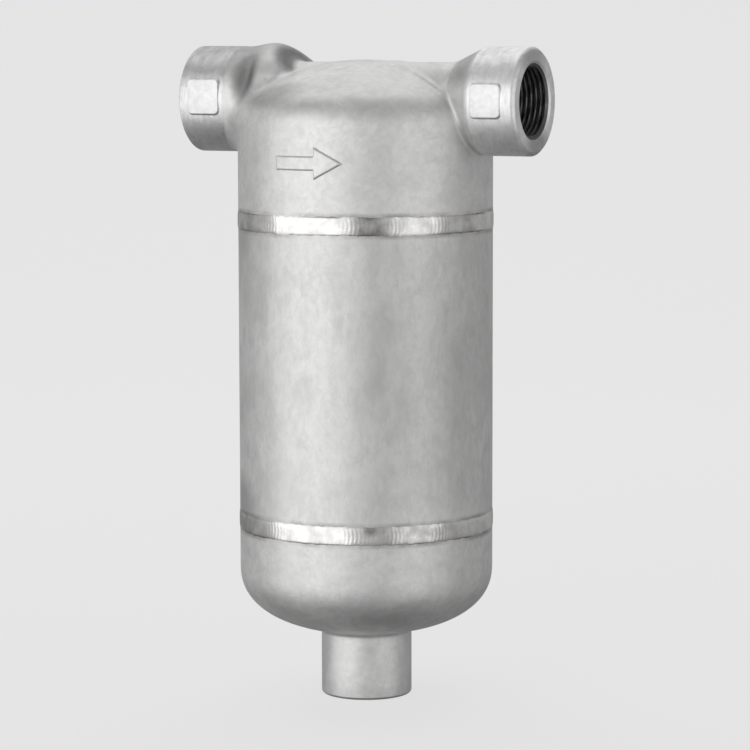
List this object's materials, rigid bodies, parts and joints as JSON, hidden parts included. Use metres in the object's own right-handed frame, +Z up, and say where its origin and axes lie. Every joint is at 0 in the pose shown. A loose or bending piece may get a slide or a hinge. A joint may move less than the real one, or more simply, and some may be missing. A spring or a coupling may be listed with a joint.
{
  "type": "steam trap",
  "caption": "In-line cyclone separator with a built-in lever-float steam trap: threaded inlet and outlet at the top, drain socket at the bottom.",
  "frame": {"origin": "centre of the drain socket's end face, on the vessel's axis", "axes": "+Z up the vessel's axis, +X from the inlet socket to the outlet socket, -Y the front"},
  "size_m": [0.165, 0.116, 0.2929],
  "materials": {
    "cast_steel": "blasted and pickled stainless casting",
    "tube_steel": "satin, blasted stainless tube",
    "weld_metal": "bright rippled weld bead",
    "inner_steel": "plain stainless sheet and bar",
    "valve_steel": "hardened and ground stainless steel",
    "float_steel": "polished thin stainless sheet",
    "gasket": "graphite-faced flat gasket"
  },
  "bodies": {
    "housing": {"head_casting": "cast_steel", "shell_tube": "tube_steel", "bottom_cap": "cast_steel", "upper_weld": "weld_metal", "lower_weld": "weld_metal", "outlet_tube": "inner_steel", "swirl_vanes": "inner_steel", "vane_lock_nut": "inner_steel", "baffle_cone": "inner_steel", "baffle_brackets": "inner_steel", "baffle_rivets": "inner_steel", "screen_plate": "inner_steel", "screen_support_ring": "inner_steel", "screen_snap_ring": "inner_steel", "valve_seat": "valve_steel", "seat_gasket": "gasket", "pivot_bracket": "inner_steel", "bracket_washers": "inner_steel", "bracket_screws": "inner_steel", "pivot_pin": "valve_steel", "pivot_clip": "valve_steel"},
    "float_arm": {"float_lever": "inner_steel", "float_boss": "float_steel", "float_screw": "inner_steel", "float_lower_half": "float_steel", "float_upper_half": "float_steel", "float_seam": "float_steel"},
    "valve": {"valve_plug": "valve_steel", "valve_pin": "valve_steel"}
  },
  "joints": [
    {"name": "float_swing", "type": "hinge", "parent": "housing", "child": "float_arm", "pos_m": [-0.018, 0, 0.056], "axis": [0, -1, 0], "range_deg": [0, 16]},
    {"name": "valve_lift", "type": "slide", "parent": "housing", "child": "valve", "axis": [0, 0, 1], "range_m": [0, 0.00503]}
  ],
  "couplings": [
    {"joint": "valve_lift", "follows": "float_swing", "m_per_rad": 0.018}
  ]
}
